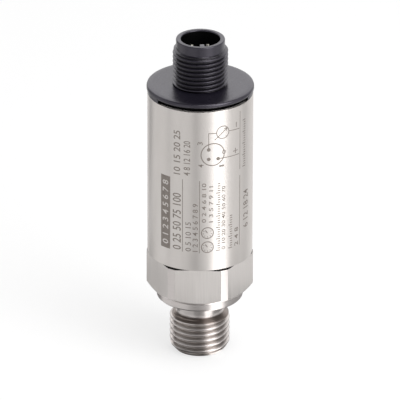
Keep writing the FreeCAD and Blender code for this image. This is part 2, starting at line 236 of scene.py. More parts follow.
def shade(bm, sharp_angle=math.radians(50)):
    """Smooth faces, with hard edges where two faces meet at more than the angle."""
    bmesh.ops.recalc_face_normals(bm, faces=bm.faces)
    for face in bm.faces:
        face.smooth = True
    for edge in bm.edges:
        edge.smooth = len(edge.link_faces) == 2 and edge.calc_face_angle() < sharp_angle


def piece_from(name, bm, slot, *nodes):
    """Object that rides on the body and stands for the named CAD nodes."""
    mesh = bpy.data.meshes.new(name)
    bm.to_mesh(mesh)
    bm.free()
    piece = bpy.data.objects.new(name, mesh)
    bpy.context.scene.collection.objects.link(piece)
    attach(piece, "root")
    if nodes:
        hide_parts(*nodes)
    return piece


def thread_turn(pitch, depth, flank, arc_steps=3, flank_steps=3):
    """One turn of a thread's section from crest to crest: (height, drop below the crest)."""
    rounding = (pitch / 2 / math.tan(flank) - depth) / (2 / math.sin(flank) - 2)
    turn = math.pi / 2 - flank
    half = []
    for step in range(arc_steps + 1):
        angle = turn * step / arc_steps
        half.append((rounding * math.sin(angle), rounding * (1 - math.cos(angle))))
    arc_end = half[-1]
    arc_start = (pitch / 2 - arc_end[0], depth - arc_end[1])
    for step in range(1, flank_steps + 1):
        share = step / (flank_steps + 1)
        half.append(tuple(a + (b - a) * share for a, b in zip(arc_end, arc_start)))
    for step in range(arc_steps, -1, -1):
        angle = turn * step / arc_steps
        half.append((pitch / 2 - rounding * math.sin(angle), depth - rounding * (1 - math.cos(angle))))
    return half[:-1] + [(pitch - height, drop) for height, drop in reversed(half[1:])]


def threaded_wall(azimuth, turn, pitch, crest, envelope):
    """Outline points up a right-hand thread between the ends of its envelope.

    envelope lists the (radius, height) corners of the turned blank. Points past an end stay at it.
    """
    bottom = envelope[0][1]
    top = envelope[-1][1]
    radius = max(r for r, z in envelope)
    lead = crest + pitch * (azimuth - FRONT) / (2 * math.pi)
    first = math.floor((bottom - crest) / pitch) - 1
    last = math.ceil((top - crest) / pitch) + 1
    points = []
    for index in range(first, last):
        for height, drop in turn:
            z = min(max(lead + index * pitch + height, bottom), top)
            points.append((min(radius - drop, blank_radius(envelope, z)), z))
    return points


def blank_radius(envelope, height):
    """Radius of the turned blank at a height."""
    for (r0, z0), (r1, z1) in zip(envelope, envelope[1:]):
        if z0 <= height <= z1:
            return r0 + (r1 - r0) * (height - z0) / (z1 - z0)
    return envelope[-1][0]


# ---------------------------------------------------------------- process fitting
def hexagon_radius(azimuth):
    side = (azimuth - FRONT - HEX_TURN + math.pi / 6) % (math.pi / 3) - math.pi / 6
    return min(HEX_CORNER_R, HEX_FLAT_R / math.cos(side))


def fitting_outline(azimuth):
    """Port, threaded stub, neck, collar, hexagon, spigot and the cell's socket."""
    port_floor = STUB_BOTTOM + PORT_DEPTH
    stub = eased([
        (G_THREAD_R - STUB_CHAMFER_R, STUB_BOTTOM),
        (G_THREAD_R, STUB_BOTTOM + STUB_CHAMFER_Z),
        (G_THREAD_R, -NECK_LENGTH - NECK_RUNOUT),
        (NECK_R, -NECK_LENGTH),
        (NECK_R, -NECK_LENGTH / 2),
    ], NECK_FILLET)
    hexagon_r = hexagon_radius(azimuth)
    shoulder_r = min(SHOULDER_R, hexagon_r - SHOULDER_INSET)
    hexagon = [
        (NECK_R, -NECK_LENGTH / 2),
        (NECK_R, 0),
        (COLLAR_R - COLLAR_EDGE, 0),
        (COLLAR_R, COLLAR_EDGE),
        (COLLAR_R, COLLAR_HEIGHT),
        (hexagon_r, COLLAR_HEIGHT + (hexagon_r - COLLAR_R) * math.tan(HEX_CHAMFER)),
        (hexagon_r, HEX_TOP - (hexagon_r - HEX_FLAT_R) * HEX_TOP_SLOPE),
        (shoulder_r, HEX_TOP),
        (shoulder_r, TUBE_BOTTOM),
        (SPIGOT_R, TUBE_BOTTOM),
    ]
    groove_middle = (TUBE_BOTTOM + SPIGOT_TOP) / 2
    inside = [
        (SPIGOT_R, groove_middle - RING_GROOVE_WIDTH / 2),
        (SPIGOT_R - RING_GROOVE_DEPTH, groove_middle - RING_GROOVE_WIDTH / 2),
        (SPIGOT_R - RING_GROOVE_DEPTH, groove_middle + RING_GROOVE_WIDTH / 2),
        (SPIGOT_R, groove_middle + RING_GROOVE_WIDTH / 2),
        (SPIGOT_R, SPIGOT_TOP),
        (CLAMP_THREAD_R, SPIGOT_TOP),
        (CLAMP_THREAD_R, cell_high.z),
        (cell_high.x + SLIP, cell_high.z),
        (cell_high.x + SLIP, cell_low.z),
        (GLAND_R[1], cell_low.z),
        (GLAND_R[1], cell_low.z - GLAND_DEPTH),
        (GLAND_R[0], cell_low.z - GLAND_DEPTH),
        (GLAND_R[0], cell_low.z),
        (DUCT_R, cell_low.z),
        (DUCT_R, port_floor),
        (PORT_R, port_floor),
        (PORT_R, STUB_BOTTOM),
    ]
    thread = threaded_wall(azimuth, G_TURN, G_PITCH, G_CREST, stub)
    return thread + eased(hexagon, HEX_EASE)[1:] + inside


G_TURN = thread_turn(G_PITCH, G_DEPTH, G_FLANK)


def process_fitting():
    corner = math.acos(HEX_FLAT_R / HEX_CORNER_R)
    soft_edges = []
    for side in range(6):
        flat = FRONT + HEX_TURN + side * math.pi / 3
        soft_edges += [flat - corner, flat + corner]
    bm = bmesh.new()
    sweep(bm, columns_round(*soft_edges), fitting_outline)
    shade(bm)
    return piece_from("process_fitting_body", bm, "fitting_steel", "process_fitting")


# ---------------------------------------------------------------- housing tube
def housing_tube():
    middle = (TUBE_BOTTOM + TUBE_TOP) / 2
    outline = eased([
        (TUBE_BORE_R, middle),
        (TUBE_BORE_R, TUBE_BOTTOM),
        (TUBE_R, TUBE_BOTTOM),
        (TUBE_R, TUBE_TOP),
        (TUBE_BORE_R, TUBE_TOP),
        (TUBE_BORE_R, middle),
    ], TUBE_EASE)[:-1]
    bm = bmesh.new()
    sweep(bm, columns_round(count=240), lambda column: outline)
    shade(bm)
    return piece_from("housing_tube_shell", bm, "tube_steel", "housing_tube")


# ---------------------------------------------------------------- connector cap
def cap_outline(column):
    """Skirt, seat ring or vent slot, rim, threaded plug with its nose, socket and boss."""
    azimuth, in_slot = column
    seat_r = VENT_SLOT_R if in_slot else SEAT_R
    groove_middle = (SKIRT_BOTTOM + TUBE_TOP) / 2
    skirt = [
        (CAVITY_R, CAVITY_ROOF),
        (CAVITY_R, SKIRT_BOTTOM),
        (SPIGOT_R, SKIRT_BOTTOM),
        (SPIGOT_R, groove_middle - RING_GROOVE_WIDTH / 2),
        (SPIGOT_R - RING_GROOVE_DEPTH, groove_middle - RING_GROOVE_WIDTH / 2),
        (SPIGOT_R - RING_GROOVE_DEPTH, groove_middle + RING_GROOVE_WIDTH / 2),
        (SPIGOT_R, groove_middle + RING_GROOVE_WIDTH / 2),
        (SPIGOT_R, TUBE_TOP),
        (seat_r, TUBE_TOP),
        (seat_r, RIM_BOTTOM),
    ]
    rim = [
        (RIM_R, RIM_BOTTOM),
        (RIM_R, RIM_TOP - RIM_CROWN_FALL),
        (RIM_R - RIM_CROWN, RIM_TOP),
        (M_THREAD_R, RIM_TOP),
    ]
    blank = [
        (M_THREAD_R, RIM_TOP),
        (M_THREAD_R, THREAD_TOP - THREAD_RUNOUT),
        (NOSE_R, THREAD_TOP),
    ]
    nose = [
        (NOSE_R, THREAD_TOP),
        (NOSE_R, LIP),
        (SOCKET_R, LIP),
        (SOCKET_R, LIP - 1),
    ]
    seat = carrier_high.z - CARRIER_SEAT
    socket = [
        (SOCKET_R, seat),
        (carrier_high.x + SNUG, seat),
        (carrier_high.x + SNUG, BOSS_BOTTOM),
        (BOSS_R, BOSS_BOTTOM),
        (BOSS_R, CAVITY_ROOF),
    ]
    thread = threaded_wall(azimuth, M_TURN, M_PITCH, M_CREST, blank)
    nose = eased(nose, NOSE_EDGE)[1:]
    return skirt + eased([skirt[-1], *rim], RIM_EDGE)[1:-1] + thread + nose + socket


M_TURN = thread_turn(M_PITCH, M_DEPTH, M_FLANK)


def coding_key(bm):
    """Rib in the socket, from the carrier's nose up to just under the lip."""
    root = (NOSE_R + SOCKET_R) / 2
    inner = SOCKET_R - KEY_HEIGHT
    top = LIP - KEY_RECESS
    size = Vector((root - inner, KEY_WIDTH, top - SOCKET_FLOOR)) * MM
    centre = Vector(((root + inner) / 2, 0, (top + SOCKET_FLOOR) / 2)) * MM
    place = Matrix.Rotation(KEY_AZIMUTH, 4, "Z") @ Matrix.Translation(centre) @ Matrix.Diagonal((*size, 1))
    rib = bmesh.ops.create_cube(bm, size=1, matrix=place)["verts"]
    edges = {edge for vert in rib for edge in vert.link_edges}
    bmesh.ops.bevel(bm, geom=list(edges), offset=KEY_EDGE * MM, segments=2, affect="EDGES", profile=0.5)


def connector_cap():
    half = VENT_SLOT / 2
    columns = []
    for azimuth in columns_round():
        from_key = (azimuth - KEY_AZIMUTH + math.pi) % (2 * math.pi) - math.pi
        columns.append((azimuth, abs(from_key) < half))
    for end, marks in ((KEY_AZIMUTH - half, (False, True)), (KEY_AZIMUTH + half, (True, False))):
        place = next(i for i, column in enumerate(columns) if column[0] > end)
        columns[place:place] = [(end, mark) for mark in marks]
    bm = bmesh.new()
    sweep(bm, columns, cap_outline)
    coding_key(bm)
    shade(bm)
    return piece_from("connector_cap_moulding", bm, "cap_plastic", "connector_cap")


# ---------------------------------------------------------------- contact pins
def contact_pin(node):
    low, high = box_mm(node)
    middle = (low + high) / 2
    radius = (high.x - low.x) / 2
    collar = carrier_low.z
    outline = eased([
        (0, low.z),
        (PIN_SHANK_R, low.z),
        (PIN_SHANK_R, collar - PIN_COLLAR_HEIGHT),
        (radius, collar - PIN_COLLAR_HEIGHT),
        (radius, collar),
        (PIN_SHANK_R, collar),
        (PIN_SHANK_R, high.z),
        (0, high.z),
    ], PIN_EASE)[:-1]
    tip = []
    for step in range(6):
        angle = math.pi / 2 * step / 5
        tip.append((PIN_SHANK_R * math.cos(angle), high.z - PIN_TIP * (1 - math.sin(angle))))
    outline = [point for point in outline if point[1] < high.z - PIN_TIP] + tip
    bm = bmesh.new()
    sweep(bm, columns_round(count=36), lambda column: outline)
    bmesh.ops.translate(bm, verts=bm.verts, vec=Vector((middle.x, middle.y, 0)) * MM)
    shade(bm)
    return piece_from(node + "_turned", bm, "contact_metal", node)


# ---------------------------------------------------------------- marks on the tube
# Laid out flat in millimetres: x is the arc from the marked side towards +X, y the height.
MARK_PROUD = 0.012
MARK_SUNK = 0.01
MARK_LINE = 0.16
MARK_STEP = 0.4                      # widest face left before the marks are bent round the tube


def plate(bm, outline):
    """Thin closed plate over an outline of (x, y) points."""
    low = [bm.verts.new((x, y, -MARK_SUNK)) for x, y in outline]
    high = [bm.verts.new((x, y, MARK_PROUD)) for x, y in outline]
    bm.faces.new(reversed(low))
    bm.faces.new(high)
    for index in range(len(outline)):
        bm.faces.new((low[index - 1], low[index], high[index], high[index - 1]))


def stroke(bm, start, end, width=MARK_LINE):
    start = Vector(start)
    end = Vector(end)
    side = (end - start).orthogonal().normalized() * width / 2
    plate(bm, [start - side, end - side, end + side, start + side])


def disc(bm, x, y, radius, count=20):
    turns = [2 * math.pi * index / count for index in range(count)]
    plate(bm, [(x + radius * math.cos(turn), y + radius * math.sin(turn)) for turn in turns])


def ring(bm, x, y, radius, width=MARK_LINE, count=48):
    corners = []
    for index in range(count):
        turn = 2 * math.pi * index / count
        for r in (radius - width / 2, radius + width / 2):
            for height in (-MARK_SUNK, MARK_PROUD):
                corners.append(bm.verts.new((x + r * math.cos(turn), y + r * math.sin(turn), height)))
    for index in range(count):
        a = corners[4 * index - 4:4 * index] or corners[-4:]
        b = corners[4 * index:4 * index + 4]
        for first, second in ((0, 1), (1, 3), (3, 2), (2, 0)):
            bm.faces.new((a[first], a[second], b[second], b[first]))


def number(bm, text, x, y, height, length):
    """Plain digits that read upwards from (x, y), with their feet on the line through x."""
    curve = bpy.data.curves.new("digits", "FONT")
    curve.body = text
    curve.extrude = 0.1
    curve.offset = 0.008
    curve.resolution_u = 3
    holder = bpy.data.objects.new("digits", curve)
    mesh = bpy.data.meshes.new_from_object(holder)
    low = [min(vert.co[axis] for vert in mesh.vertices) for axis in (0, 1)]
    high = [max(vert.co[axis] for vert in mesh.vertices) for axis in (0, 1)]
    for vert in mesh.vertices:
        along = (vert.co.x - low[0]) / (high[0] - low[0]) * length
        up = (vert.co.y - low[1]) / (high[1] - low[1]) * height
        vert.co = (x - up, y + along, MARK_PROUD if vert.co.z > 0 else -MARK_SUNK)
    bm.from_mesh(mesh)
    bpy.data.objects.remove(holder)
    bpy.data.curves.remove(curve)
    bpy.data.meshes.remove(mesh)


def ticks(bm, x, y, height, length, pitch=0.55):
    """Row of scale marks that reads upwards from (x, y), every fifth one at full height."""
    for index in range(int(length / pitch) + 1):
        reach = height if index % 5 == 0 else height * 0.62
        stroke(bm, (x, y + index * pitch), (x - reach, y + index * pitch), 0.2)


def gauge(bm, x, y, radius):
    """Small dial with ticks and a pointer."""
    ring(bm, x, y, radius, 0.2)
    for index in range(7):
        turn = math.radians(-210 + 40 * index)
        arm = Vector((math.cos(turn), math.sin(turn)))
        centre = Vector((x, y))
        stroke(bm, centre + arm * radius * 0.62, centre + arm * radius * 0.8, 0.16)
    stroke(bm, (x, y), (x - radius * 0.35, y + radius * 0.5), 0.2)


def plug_diagram(bm):
    """Plug face with its three contacts, wired to a meter and a supply."""
    x, y, radius = 2.79, 38.75, 2.6
    ring(bm, x, y, radius, 0.22)
    ring(bm, x + radius - 0.05, y + 0.25, 0.38, 0.16, 16)
    contacts = {"3": (1.86, 39.94), "4": (1.87, 37.70), "1": (3.97, 37.64)}
    for place in contacts.values():
        disc(bm, *place, 0.42)
    number(bm, "3", 0.55, 41.1, 1.15, 0.75)
    number(bm, "4", 0.75, 35.8, 1.15, 0.75)
    number(bm, "1", 5.35, 35.6, 1.15, 0.4)
    stroke(bm, contacts["3"], (1.86, 43.8))
    stroke(bm, (1.78, 43.8), (3.58, 43.73))
    meter_x, meter_y, meter_r = 5.06, 43.73, 1.45
    ring(bm, meter_x, meter_y, meter_r, 0.18)
    stroke(bm, (meter_x - 1.9, meter_y - 1.6), (meter_x + 1.0, meter_y + 0.9), 0.16)
    stroke(bm, (meter_x + 1.0, meter_y + 0.9), (meter_x + 0.25, meter_y + 0.75), 0.16)
    stroke(bm, (meter_x + 1.0, meter_y + 0.9), (meter_x + 0.85, meter_y + 0.15), 0.16)
    stroke(bm, (meter_x + meter_r, meter_y), (9.5, 43.5))
    stroke(bm, (8.53, 44.1), (8.53, 45.3), 0.2)
    stroke(bm, contacts["1"], (9.4, 37.51))
    stroke(bm, (8.32, 37.95), (8.32, 39.2), 0.2)
    stroke(bm, (7.7, 38.57), (8.94, 38.57), 0.2)


def tube_marks(bm):
    """Dark bar, rules, plain numbers and scales, two gauges and the plug's diagram."""
    stroke(bm, (-8.16, 15.4), (-8.16, 32.7), 2.58)
    for x, bottom, top in ((-3.87, 15.4, 32.7), (-0.11, 15.3, 32.6), (9.7, 15.6, 32.25), (9.7, 33.7, 47.5)):
        stroke(bm, (x, bottom), (x, top), 0.14)
    number(bm, "0 25 50 75 100", -4.2, 15.7, 2.0, 13.5)
    number(bm, "10 15 20 25", -4.4, 33.7, 1.6, 10.4)
    number(bm, "4 8 12 16 20", -2.15, 33.7, 1.5, 8.2)
    number(bm, "0 5 10 15", -1.95, 15.6, 1.25, 7.0)
    number(bm, "1 2 3 4 5 6 7 8 9", -0.45, 15.6, 1.15, 11.5)
    for y in (16.7, 20.1):
        gauge(bm, 1.65, y, 1.3)
    number(bm, "0 2 4 6 8 10", 1.35, 22.6, 0.95, 9.4)
    number(bm, "1 3 5 7 9 11", 2.9, 22.6, 0.95, 8.6)
    ticks(bm, 4.5, 15.7, 0.95, 16.0)
    number(bm, "0 10 20 30 40 50 60 70", 5.7, 15.7, 0.85, 15.2)
    ticks(bm, 7.5, 15.7, 0.95, 8.2)
    number(bm, "2 4 8", 9.25, 15.7, 1.1, 4.4)
    ticks(bm, 11.6, 34.0, 1.0, 11.0)
    number(bm, "6 12 18 24", 12.9, 19.0, 1.9, 9.0)
    plug_diagram(bm)


def bar_numbers(bm):
    """Bright numbers left free in the dark bar."""
    number(bm, "0 1 2 3 4 5 6 7 8", -7.35, 16.4, 1.6, 15.2)


def bent_marks(name, draw, slot, lift=0.0):
    bm = bmesh.new()
    draw(bm)
    reach = max(abs(vert.co.x) for vert in bm.verts)
    for index in range(-int(reach / MARK_STEP), int(reach / MARK_STEP) + 1):
        everything = bm.verts[:] + bm.edges[:] + bm.faces[:]
        place = (index * MARK_STEP, 0, 0)
        bmesh.ops.bisect_plane(bm, geom=everything, dist=1e-5, plane_co=place, plane_no=(1, 0, 0))
    bmesh.ops.remove_doubles(bm, verts=bm.verts, dist=1e-4)
    for vert in bm.verts:
        azimuth = FRONT + vert.co.x / TUBE_R
        radius = TUBE_R + vert.co.z + lift
        vert.co = Vector((radius * math.cos(azimuth), radius * math.sin(azimuth), vert.co.y)) * MM
    shade(bm)
    return piece_from(name, bm, slot)


# ---------------------------------------------------------------- materials
class Finish:
    """A node material, with a few calls that keep its node code short."""

    def __init__(self, name, metallic, roughness, **sockets):
        self.material = bpy.data.materials.new(name)
        self.material.use_nodes = True
        self.tree = self.material.node_tree
        self.shader = self.tree.nodes["Principled BSDF"]
        self.shader.inputs["Metallic"].default_value = metallic
        self.shader.inputs["Roughness"].default_value = roughness
        for socket, value in sockets.items():
            self.shader.inputs[socket.replace("_", " ")].default_value = value
        self.place = self.node("ShaderNodeTexCoord").outputs["Object"]

    def node(self, kind, **settings):
        node = self.tree.nodes.new(kind)
        for name, value in settings.items():
            setattr(node, name, value)
        return node

    def link(self, source, target):
        self.tree.links.new(source, target)

    def math(self, operation, *values):
        node = self.node("ShaderNodeMath", operation=operation)
        for socket, value in zip(node.inputs, values):
            if isinstance(value, (int, float)):
                socket.default_value = value
            else:
                self.link(value, socket)
        return node.outputs[0]

    def cylinder_place(self, around, up, out=0):
        """Coordinates (azimuth x around, height x up, radius x out), in cycles per metre or turn."""
        split = self.node("ShaderNodeSeparateXYZ")
        self.link(self.place, split.inputs[0])
        x, y, z = split.outputs
        azimuth = self.math("ARCTAN2", y, x)
        squares = self.math("ADD", self.math("MULTIPLY", x, x), self.math("MULTIPLY", y, y))
        radius = self.math("SQRT", squares)
        joined = self.node("ShaderNodeCombineXYZ")
        self.link(self.math("MULTIPLY", azimuth, around), joined.inputs[0])
        self.link(self.math("MULTIPLY", z, up), joined.inputs[1])
        self.link(self.math("MULTIPLY", radius, out), joined.inputs[2])
        return joined.outputs[0]

    def stretched(self, x, y, z):
        node = self.node("ShaderNodeMapping")
        node.inputs["Scale"].default_value = (x, y, z)
        self.link(self.place, node.inputs["Vector"])
        return node.outputs[0]

    def height(self):
        split = self.node("ShaderNodeSeparateXYZ")
        self.link(self.place, split.inputs[0])
        return split.outputs["Z"]

    def radius(self):
        flat = self.node("ShaderNodeVectorMath", operation="MULTIPLY")
        flat.inputs[1].default_value = (1, 1, 0)
        self.link(self.place, flat.inputs[0])
        length = self.node("ShaderNodeVectorMath", operation="LENGTH")
        self.link(flat.outputs[0], length.inputs[0])
        return length.outputs["Value"]

    def fade(self, value, start, end):
        """0 at the start value and 1 at the end value, in millimetres."""
        node = self.node("ShaderNodeMapRange")
        node.inputs["From Min"].default_value = start * MM
        node.inputs["From Max"].default_value = end * MM
        self.link(value, node.inputs["Value"])
        return node.outputs[0]

    def noise(self, vector, scale, detail=2.0):
        node = self.node("ShaderNodeTexNoise")
        node.inputs["Scale"].default_value = scale
        node.inputs["Detail"].default_value = detail
        self.link(vector, node.inputs["Vector"])
        return node.outputs["Fac"]

    def ramp(self, factor, *stops):
        """Colour from a factor; each stop is (position, colour or grey)."""
        node = self.node("ShaderNodeValToRGB")
        elements = node.color_ramp.elements
        while len(elements) < len(stops):
            elements.new(0.5)
        for element, (position, colour) in zip(elements, stops):
            element.position = position
            element.color = (*colour, 1) if isinstance(colour, tuple) else (colour, colour, colour, 1)
        self.link(factor, node.inputs[0])
        return node.outputs[0]

    def blend(self, factor, first, second, mode="MIX"):
        node = self.node("ShaderNodeMix", data_type="RGBA", blend_type=mode)
        for socket, value in ((node.inputs[0], factor), (node.inputs[6], first), (node.inputs[7], second)):
            if isinstance(value, (int, float)):
                socket.default_value = value
            elif isinstance(value, tuple):
                socket.default_value = (*value, 1)
            else:
                self.link(value, socket)
        return node.outputs[2]

    def colour(self, source):
        self.link(source, self.shader.inputs["Base Color"])

    def roughness(self, source):
        self.link(source, self.shader.inputs["Roughness"])

    def bump(self, height, depth, strength=1.0):
        node = self.node("ShaderNodeBump")
        node.inputs["Strength"].default_value = strength
        node.inputs["Distance"].default_value = depth * MM
        self.link(height, node.inputs["Height"])
        self.link(node.outputs[0], self.shader.inputs["Normal"])

    def grain(self, turned=True):
        """Anisotropy along the turning marks, which run round the axis, or along the brushing."""
        node = self.node("ShaderNodeTangent", direction_type="RADIAL", axis="Z")
        self.link(node.outputs[0], self.shader.inputs["Tangent"])
        self.shader.inputs["Anisotropic Rotation"].default_value = 0.25 if turned else 0.0


def tube_steel():
    """Turned stainless tube: its highlights run along the axis."""
    finish = Finish("tube_steel", 1.0, 0.42, Anisotropic=0.9)
    lines = finish.noise(finish.cylinder_place(1.2, 9000), 1.0, 3.0)
    cloud = finish.noise(finish.cylinder_place(3.0, 90), 1.0, 2.0)
    tone = finish.ramp(cloud, (0.35, (0.63, 0.596, 0.570)), (0.65, (0.66, 0.626, 0.602)))
    fine = finish.ramp(lines, (0.3, 0.95), (0.7, 1.0))
    finish.colour(finish.blend(1.0, tone, fine, "MULTIPLY"))
    finish.roughness(finish.ramp(lines, (0.3, 0.38), (0.7, 0.46)))
    finish.bump(lines, 0.001, 0.2)
    finish.grain()
    return finish.material


def turned_steel():
    """Turned faces of the fitting, with painted shade, darker and browner steel, down in the thread's
    grooves and its run-out, and a painted highlight, much brighter steel, on the hexagon's lower chamfer.
    """
    finish = Finish("fitting_steel_turned", 1.0, 0.36, Anisotropic=0.85)
    lines = finish.noise(finish.cylinder_place(1.2, 7000, 7000), 1.0, 3.0)
    bright = finish.ramp(lines, (0.3, (0.53, 0.495, 0.48)), (0.7, (0.58, 0.545, 0.53)))
    dark = finish.ramp(lines, (0.3, (0.36, 0.32, 0.30)), (0.7, (0.44, 0.405, 0.385)))
    # Painted shade: the thread's grooves take the darker steel, and the run-out under the neck a near-black
    # brown.
    groove_shade = finish.fade(finish.radius(), G_THREAD_R - 0.12, G_THREAD_R - 0.5)
    threaded = finish.fade(finish.height(), -NECK_LENGTH - 0.05, -NECK_LENGTH - 0.25)
    runout_shade = finish.fade(finish.height(), -NECK_LENGTH - NECK_RUNOUT - 0.1, -NECK_LENGTH - NECK_RUNOUT)
    # Painted highlight: the hexagon's lower chamfer takes a much brighter steel.
    cone_highlight = finish.math(
        "MULTIPLY",
        finish.fade(finish.radius(), COLLAR_R + 0.02, COLLAR_R + 0.1),
        finish.fade(finish.height(), COLLAR_HEIGHT + 1.6, COLLAR_HEIGHT + 1.4))
    steel = finish.blend(cone_highlight, bright, (0.92, 0.87, 0.84))
    thread_shade = finish.math("MULTIPLY", threaded, finish.math("MAXIMUM", groove_shade, runout_shade))
    finish.colour(finish.blend(thread_shade, steel, finish.blend(runout_shade, dark, (0.20, 0.17, 0.155))))
    finish.roughness(finish.ramp(lines, (0.3, 0.31), (0.7, 0.40)))
    finish.bump(lines, 0.001, 0.2)
    finish.grain()
    return finish.material


def milled_steel():
    """Flats of the hexagon, brushed along the axis."""
    finish = Finish("fitting_steel_milled", 1.0, 0.42, Anisotropic=0.85)
    brush = finish.noise(finish.stretched(5200, 5200, 150), 1.0, 3.0)
    cloud = finish.noise(finish.stretched(160, 160, 60), 1.0, 2.0)
    tone = finish.ramp(cloud, (0.35, (0.57, 0.541, 0.521)), (0.65, (0.61, 0.581, 0.561)))
    fine = finish.ramp(brush, (0.3, 0.90), (0.7, 1.0))
    finish.colour(finish.blend(1.0, tone, fine, "MULTIPLY"))
    finish.roughness(finish.ramp(brush, (0.3, 0.36), (0.7, 0.46)))
    finish.bump(brush, 0.002, 0.25)
    finish.grain(turned=False)
    return finish.material


def painted_gap_shade_steel():
    """Painted shade in the gap under the tube: dark, dull steel."""
    finish = Finish("fitting_steel_painted_gap_shade", 0.0, 0.8)
    grain = finish.noise(finish.place, 3000, 2.0)
    finish.colour(finish.ramp(grain, (0.3, (0.006, 0.005, 0.005)), (0.7, (0.02, 0.018, 0.016))))
    return finish.material


def cap_plastic():
    """Black moulding with a violet cast and a fine grain, with painted shade down in the thread's grooves.
    """
    finish = Finish("cap_plastic", 0.0, 0.30, IOR=1.60)
    finish.shader.inputs["Specular Tint"].default_value = (0.93, 0.88, 1.0, 1)
    grain = finish.noise(finish.place, 2500, 3.0)
    cloud = finish.noise(finish.place, 120, 2.0)
    outer = finish.ramp(cloud, (0.3, (0.0065, 0.0055, 0.0105)), (0.7, (0.009, 0.008, 0.0135)))
    # Painted shade: the thread's grooves are made blacker still.
    groove_shade = finish.math(
        "MULTIPLY",
        finish.fade(finish.radius(), M_THREAD_R - 0.1, M_THREAD_R - 0.45),
        finish.fade(finish.height(), THREAD_TOP, THREAD_TOP - 0.2))
    finish.colour(finish.blend(groove_shade, outer, (0.001, 0.001, 0.0015)))
    finish.roughness(finish.ramp(grain, (0.3, 0.27), (0.7, 0.36)))
    finish.bump(grain, 0.003, 0.25)
    return finish.material


def cap_hollow_shade():
    """The same moulding with painted shade down in the socket and in the vent slot: blacker, duller and
    with less reflection.
    """
    finish = Finish("cap_plastic_hollow_shade", 0.0, 0.5, IOR=1.60, Specular_IOR_Level=0.08)
    grain = finish.noise(finish.place, 2500, 3.0)
    finish.colour(finish.ramp(grain, (0.3, (0.0008, 0.0008, 0.0009)), (0.7, (0.0013, 0.0012, 0.0014))))
    return finish.material


def marked_steel():
    """Laser-annealed steel: dark, a little brown, duller than the tube."""
    finish = Finish("tube_marks", 0.6, 0.5)
    cloud = finish.noise(finish.place, 1500, 3.0)
    finish.colour(finish.ramp(cloud, (0.3, (0.23, 0.20, 0.18)), (0.7, (0.29, 0.26, 0.235))))
    finish.roughness(finish.ramp(cloud, (0.3, 0.45), (0.7, 0.6)))
    return finish.material


def finish_fitting(piece):
    """Turned steel, with milled flats and painted shade in the gap between the hexagon and the tube."""
    for material in (turned_steel(), milled_steel(), painted_gap_shade_steel()):
        piece.data.materials.append(material)
    for face in piece.data.polygons:
        x, y, z = face.center / MM
        r = math.hypot(x, y)
        outward = face.normal.x * x + face.normal.y * y > 0
        upright = abs(face.normal.z) < 0.1
        if outward and upright and r < HEX_CORNER_R - 0.05 and HEX_LOW < z < HEX_TOP - 0.1:
            face.material_index = 1
        # Painted shade: the faces in the gap under the tube take the near-black steel.
        in_gap = SPIGOT_R + 0.01 < r < HEX_CORNER_R - 0.25 and HEX_TOP - 0.1 < z < TUBE_BOTTOM - 0.01
        if in_gap and (face.normal.z > 0.3 or z > HEX_TOP):
            face.material_index = 2


def finish_cap(piece):
    """Moulded plastic, with painted shade, a blacker and duller finish, in the socket and the vent slot."""
    for material in (cap_plastic(), cap_hollow_shade()):
        piece.data.materials.append(material)
    for face in piece.data.polygons:
        x, y, z = face.center / MM
        r = math.hypot(x, y)
        # Painted shade for the faces down in the socket and in the vent slot.
        in_socket = r < SOCKET_R + 0.05 and z < LIP - 0.3
        in_slot = r < SEAT_R - 0.05 and z < RIM_BOTTOM - 0.01
        face.material_index = int(in_socket or in_slot)


def plain_plastic(name, colour, roughness=0.45):
    finish = Finish(name, 0.0, roughness)
    grain = finish.noise(finish.place, 1800, 3.0)
    darker = tuple(channel * 0.85 for channel in colour)
    finish.colour(finish.ramp(grain, (0.3, darker), (0.7, colour)))
    finish.bump(grain, 0.004, 0.25)
    return finish.material


def plain_metal(name, colour, roughness=0.25):
    finish = Finish(name, 1.0, roughness)
    grain = finish.noise(finish.cylinder_place(2, 5000), 1.0, 3.0)
    darker = tuple(channel * 0.88 for channel in colour)
    finish.colour(finish.ramp(grain, (0.3, darker), (0.7, colour)))
    finish.roughness(finish.ramp(grain, (0.3, roughness * 0.8), (0.7, roughness * 1.25)))
    return finish.material


# ---------------------------------------------------------------- stage, light and camera
# Azimuths are seen from the object: 0 is the camera's side, positive to the camera's right.
def facing(obj, azimuth, elevation, distance, aim=LAMP_AIM):
    """Put a lamp or card round the object, square to it."""
    a = math.radians(azimuth)
    e = math.radians(elevation)
    away = Vector((math.sin(a) * math.cos(e), -math.cos(a) * math.cos(e), math.sin(e)))
    obj.location = aim + away * distance
    obj.rotation_euler = away.to_track_quat("Z", "Y").to_euler()
    bpy.context.scene.collection.objects.link(obj)


def softbox(name, azimuth, elevation, distance, width, height, radiance):
    lamp = bpy.data.lights.new(name, "AREA")
    lamp.shape = "RECTANGLE"
    lamp.size = width
    lamp.size_y = height
    lamp.energy = radiance * 4 * width * height
    light = bpy.data.objects.new(name, lamp)
    light.visible_camera = False
    facing(light, azimuth, elevation, distance)


def reflections_only(obj):
    obj.visible_camera = False
    obj.visible_diffuse = False
    obj.visible_shadow = False


